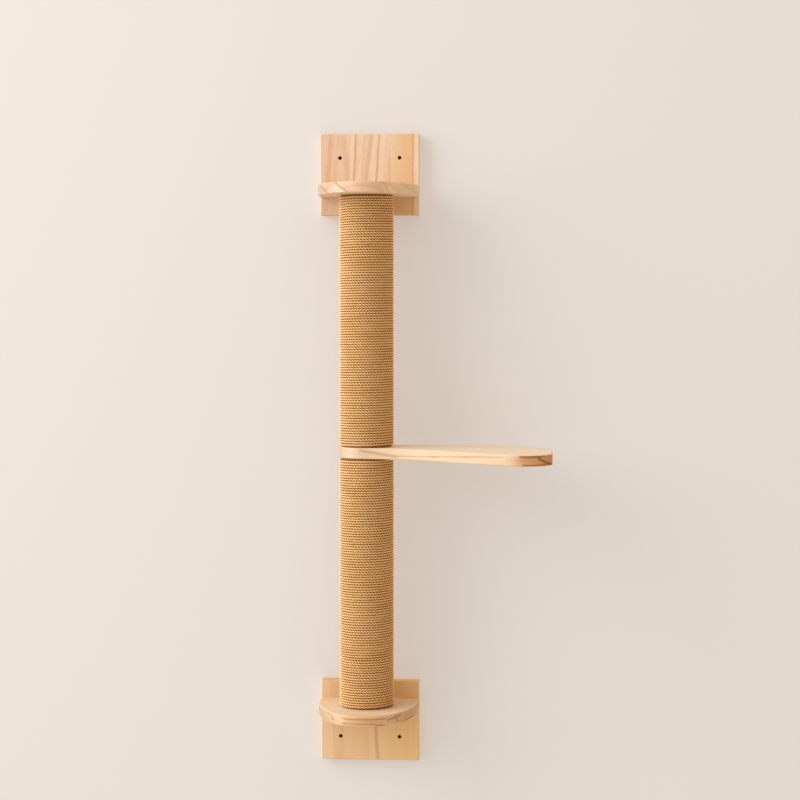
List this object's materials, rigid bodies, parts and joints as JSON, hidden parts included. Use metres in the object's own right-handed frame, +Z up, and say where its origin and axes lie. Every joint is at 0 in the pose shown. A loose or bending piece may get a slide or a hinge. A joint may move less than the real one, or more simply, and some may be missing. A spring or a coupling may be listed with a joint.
{
  "type": "wall-mounted cat scratching post",
  "caption": "Tall wall-mounted cat scratching post: rope-wound posts between half-oval pine brackets on wall plates, with a pine step board that swivels about the post.",
  "frame": {"origin": "in the wall plane, midway between the four wall screw holes, behind the middle of the step", "axes": "+Z up along the posts, +Y into the wall, +X to the side that the step points to"},
  "size_m": [0.3697, 0.252, 1.004],
  "materials": {
    "plate_pine": "matt",
    "bracket_pine": "matt",
    "step_pine": "matt",
    "beech": "matt",
    "rope": "rough",
    "paper_tube": "matt",
    "steel": "satin"
  },
  "bodies": {
    "post": {"step_stud": "steel", "upper_wall_plate": "plate_pine", "upper_bracket_board": "bracket_pine", "upper_bracket_screws": "steel", "upper_bracket_dowels": "beech", "upper_post_tube": "paper_tube", "upper_post_inner_plug": "beech", "upper_post_inner_insert": "steel", "upper_post_outer_plug": "beech", "upper_post_outer_insert": "steel", "upper_bolt_washer": "steel", "upper_post_bolt": "steel", "upper_rope_winding_1": "rope", "upper_rope_winding_2": "rope", "upper_rope_winding_3": "rope", "upper_rope_winding_4": "rope", "upper_rope_winding_5": "rope", "upper_rope_staples": "steel", "lower_wall_plate": "plate_pine", "lower_bracket_board": "bracket_pine", "lower_bracket_screws": "steel", "lower_bracket_dowels": "beech", "lower_post_tube": "paper_tube", "lower_post_inner_plug": "beech", "lower_post_inner_insert": "steel", "lower_post_outer_plug": "beech", "lower_post_outer_insert": "steel", "lower_bolt_washer": "steel", "lower_post_bolt": "steel", "lower_rope_winding_1": "rope", "lower_rope_winding_2": "rope", "lower_rope_winding_3": "rope", "lower_rope_winding_4": "rope", "lower_rope_winding_5": "rope", "lower_rope_staples": "steel"},
    "step": {"step_board": "step_pine"}
  },
  "joints": [
    {"name": "step_swivel", "type": "hinge", "parent": "post", "child": "step", "pos_m": [0, -0.076, 0], "axis": [0, 0, 1], "range_deg": [-156, 8]}
  ]
}
